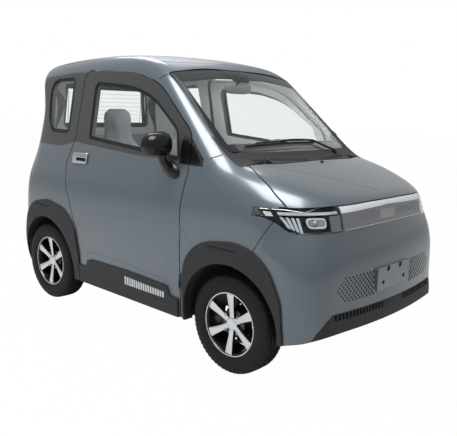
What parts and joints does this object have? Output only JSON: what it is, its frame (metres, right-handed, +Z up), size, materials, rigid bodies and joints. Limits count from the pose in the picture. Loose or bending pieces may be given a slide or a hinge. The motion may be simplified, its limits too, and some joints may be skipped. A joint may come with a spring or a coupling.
{
  "type": "two-door electric microcar",
  "caption": "Short upright two-door electric microcar with hinged doors, bonnet and tailgate, steered front wheels and dark cladding.",
  "frame": {"origin": "on the ground, under the middle of the body's length and width", "axes": "+Z up, the nose points along -Y, +X is the car's left side, where the driver sits"},
  "size_m": [1.6732, 2.6346, 1.6109],
  "materials": {
    "paint": "metallic slate grey gloss",
    "dark_cladding": "moulded charcoal plastic",
    "glass": "clear car glass",
    "lamp_lens": "clear lens over bright reflector",
    "tail_lens": "red lens",
    "light_panel": "smoked panel with a bright strip",
    "black_gloss": "piano black",
    "black_plastic": "fine grained black plastic",
    "platform_steel": "black coated steel",
    "battery_case": "grey coated case",
    "motor_case": "cast",
    "interior": "grained soft-touch plastic",
    "seat_cover": "dark woven cover",
    "tyre": "rubber",
    "rim": "machined face, black pockets",
    "chassis_steel": "black coated steel"
  },
  "bodies": {
    "chassis": {"body_sides": "paint", "fenders": "paint", "roof": "paint", "front_bumper": "paint", "front_lip": "dark_cladding", "rear_bumper": "paint", "light_bar": "light_panel", "headlamps": "lamp_lens", "tail_lamps": "tail_lens", "cowl": "black_plastic", "windscreen": "glass", "quarter_glass": "glass", "arch_flares": "dark_cladding", "platform": "platform_steel", "battery_pack": "battery_case", "drive_motor": "motor_case", "dashboard": "interior", "seat_right": "seat_cover", "seat_left": "seat_cover", "rear_bench": "seat_cover", "wiper": "black_plastic", "front_suspension": "chassis_steel", "rear_axle": "chassis_steel"},
    "bonnet": {"bonnet": "paint"},
    "tailgate": {"tailgate": "paint", "rear_glass": "glass"},
    "door_right": {"door_right": "paint", "door_glass_right": "glass", "door_cladding_right": "dark_cladding", "mirror_right": "black_gloss"},
    "door_left": {"door_left": "paint", "door_glass_left": "glass", "door_cladding_left": "dark_cladding", "mirror_left": "black_gloss"},
    "knuckle_right": {"knuckle_right": "chassis_steel"},
    "knuckle_left": {"knuckle_left": "chassis_steel"},
    "steering_wheel": {"steering_wheel": "interior"},
    "wheel_front_right": {"tyre_front_right": "tyre", "rim_front_right": "rim"},
    "wheel_front_left": {"tyre_front_left": "tyre", "rim_front_left": "rim"},
    "wheel_rear_right": {"tyre_rear_right": "tyre", "rim_rear_right": "rim"},
    "wheel_rear_left": {"tyre_rear_left": "tyre", "rim_rear_left": "rim"}
  },
  "joints": [
    {"name": "door_right_hinge", "type": "hinge", "parent": "chassis", "child": "door_right", "pos_m": [-0.6815, -0.4453, 0.65], "axis": [0, 0, 1], "range_deg": [0, 65]},
    {"name": "door_left_hinge", "type": "hinge", "parent": "chassis", "child": "door_left", "pos_m": [0.6815, -0.4453, 0.65], "axis": [0, 0, -1], "range_deg": [0, 65]},
    {"name": "bonnet_hinge", "type": "hinge", "parent": "chassis", "child": "bonnet", "pos_m": [0, -0.7646, 1.02319], "axis": [-1, 0, 0], "range_deg": [0, 55]},
    {"name": "tailgate_hinge", "type": "hinge", "parent": "chassis", "child": "tailgate", "pos_m": [0, 1.08975, 1.56749], "axis": [1, 0, 0], "range_deg": [0, 78]},
    {"name": "steer_right", "type": "hinge", "parent": "chassis", "child": "knuckle_right", "pos_m": [-0.52352, -0.777, 0.254], "axis": [0.2346, 0, 0.9721], "range_deg": [-30, 30]},
    {"name": "steer_left", "type": "hinge", "parent": "chassis", "child": "knuckle_left", "pos_m": [0.52352, -0.777, 0.254], "axis": [-0.2346, 0, 0.9721], "range_deg": [-30, 30]},
    {"name": "steering_wheel_turn", "type": "hinge", "parent": "chassis", "child": "steering_wheel", "pos_m": [0.29, -0.20775, 0.95108], "axis": [0, 0.8829, 0.4695], "range_deg": [-450, 450]},
    {"name": "wheel_front_right_spin", "type": "hinge", "parent": "knuckle_right", "child": "wheel_front_right", "pos_m": [-0.5825, -0.777, 0.254], "axis": [-1, 0, 0], "continuous": true},
    {"name": "wheel_front_left_spin", "type": "hinge", "parent": "knuckle_left", "child": "wheel_front_left", "pos_m": [0.5825, -0.777, 0.254], "axis": [-1, 0, 0], "continuous": true},
    {"name": "wheel_rear_right_spin", "type": "hinge", "parent": "chassis", "child": "wheel_rear_right", "pos_m": [-0.5825, 0.873, 0.254], "axis": [-1, 0, 0], "continuous": true},
    {"name": "wheel_rear_left_spin", "type": "hinge", "parent": "chassis", "child": "wheel_rear_left", "pos_m": [0.5825, 0.873, 0.254], "axis": [-1, 0, 0], "continuous": true}
  ],
  "couplings": [
    {"joint": "steer_left", "follows": "steer_right", "ratio": 1},
    {"joint": "steering_wheel_turn", "follows": "steer_right", "ratio": 15}
  ]
}
